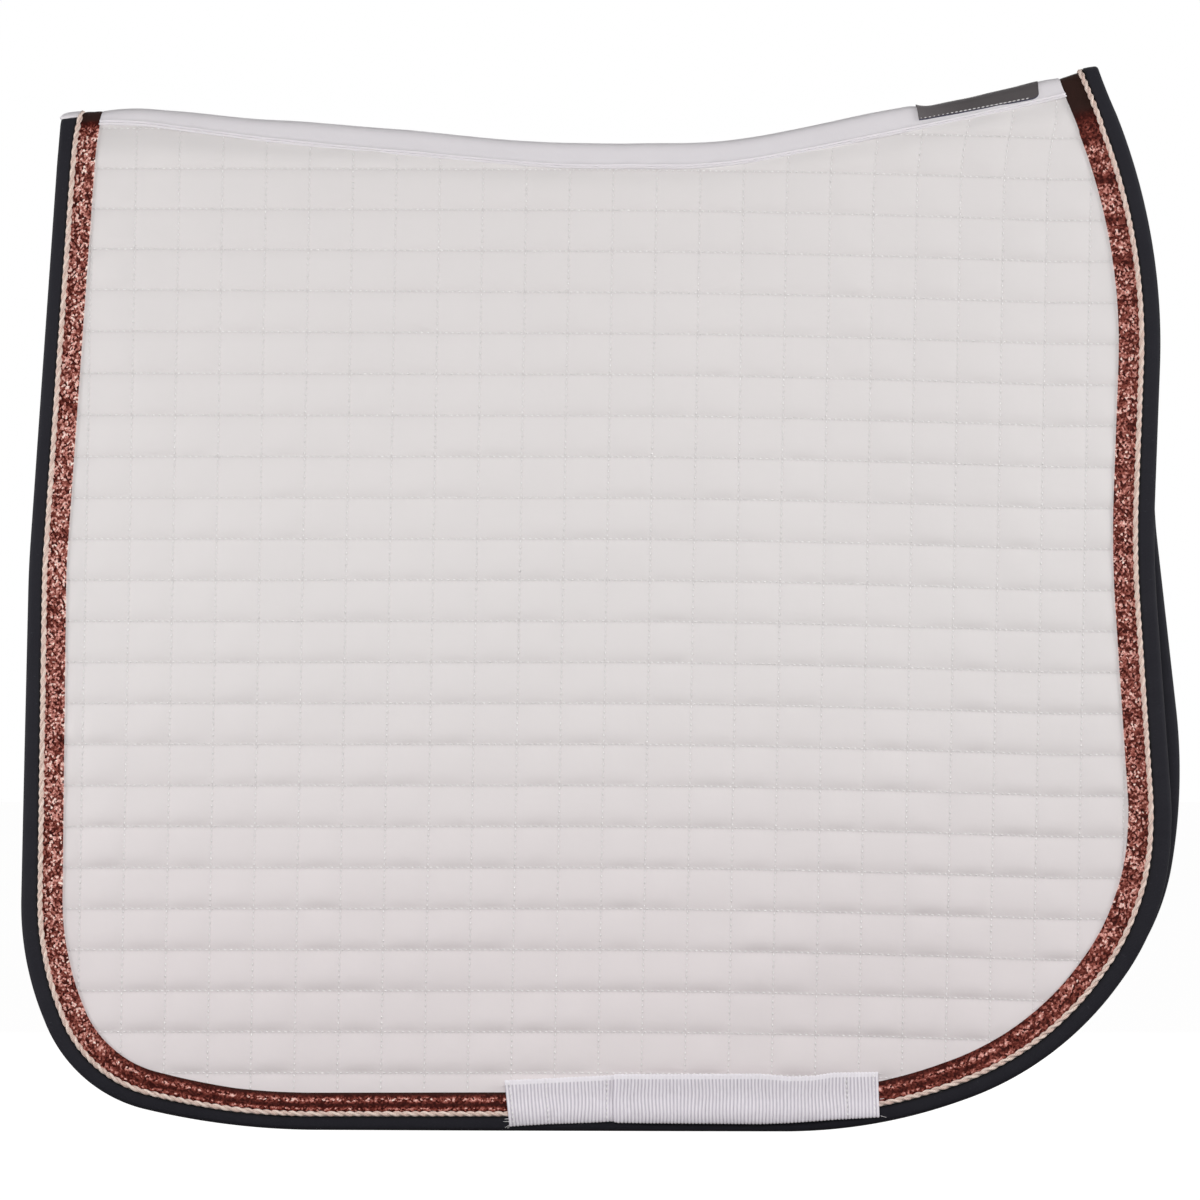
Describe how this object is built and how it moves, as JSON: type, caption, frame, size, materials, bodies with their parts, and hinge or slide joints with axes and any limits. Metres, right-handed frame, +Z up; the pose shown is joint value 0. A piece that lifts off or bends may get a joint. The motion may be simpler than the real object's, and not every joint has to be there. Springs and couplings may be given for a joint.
{
  "type": "dressage saddle pad",
  "caption": "Folded, quilted dressage saddle pad with bound, ribbon and cord trimmed edges, a spine band and a girth loop on each flap.",
  "frame": {"origin": "underside of the spine fold at its lowest point, where the pad rests on the horse's back or on a rail", "axes": "+X towards the front edge (withers), -Y the near (left) flap, +Y the off (right) flap, +Z up; the pad hangs folded over its spine"},
  "size_m": [0.6821, 0.0466, 0.6236],
  "materials": {
    "quilted_cotton": "matt quilted cotton",
    "wadding": "soft foam and fibre wadding",
    "lining_mesh": "matt white spacer mesh",
    "navy_binding": "smooth matt navy tape",
    "glitter_ribbon": "copper-pink glitter over a dark red-brown ribbon",
    "twisted_cord": "rose-gold and cream two-strand twist",
    "grosgrain": "ribbed white webbing",
    "white_thread": "white polyester thread",
    "satin_tape": "smooth white satin tape",
    "woven_label": "plain grey woven satin"
  },
  "bodies": {
    "spine": {"spine_band": "satin_tape", "spine_label": "woven_label", "spine_seam_tape": "satin_tape", "near_top_shell": "quilted_cotton", "near_top_wadding": "wadding", "near_top_lining": "lining_mesh", "off_top_shell": "quilted_cotton", "off_top_wadding": "wadding", "off_top_lining": "lining_mesh", "front_crossing_binding": "navy_binding", "front_crossing_cord": "twisted_cord", "front_crossing_ribbon": "glitter_ribbon", "rear_crossing_binding": "navy_binding", "rear_crossing_cord": "twisted_cord", "rear_crossing_ribbon": "glitter_ribbon"},
    "near_flap": {"near_outer_shell": "quilted_cotton", "near_wadding_core": "wadding", "near_lining": "lining_mesh", "near_edge_binding": "navy_binding", "near_glitter_ribbon": "glitter_ribbon", "near_twisted_cord": "twisted_cord", "near_girth_strap": "grosgrain", "near_girth_strap_seams": "white_thread"},
    "off_flap": {"off_outer_shell": "quilted_cotton", "off_wadding_core": "wadding", "off_lining": "lining_mesh", "off_edge_binding": "navy_binding", "off_glitter_ribbon": "glitter_ribbon", "off_twisted_cord": "twisted_cord", "off_girth_strap": "grosgrain", "off_girth_strap_seams": "white_thread"}
  },
  "joints": [
    {"name": "near_flap_swing", "type": "hinge", "parent": "spine", "child": "near_flap", "pos_m": [0, -0.0175, -0.0352], "axis": [-1, 0, 0], "range_deg": [0, 90]},
    {"name": "off_flap_swing", "type": "hinge", "parent": "spine", "child": "off_flap", "pos_m": [0, 0.0175, -0.0352], "axis": [1, 0, 0], "range_deg": [0, 90]}
  ]
}
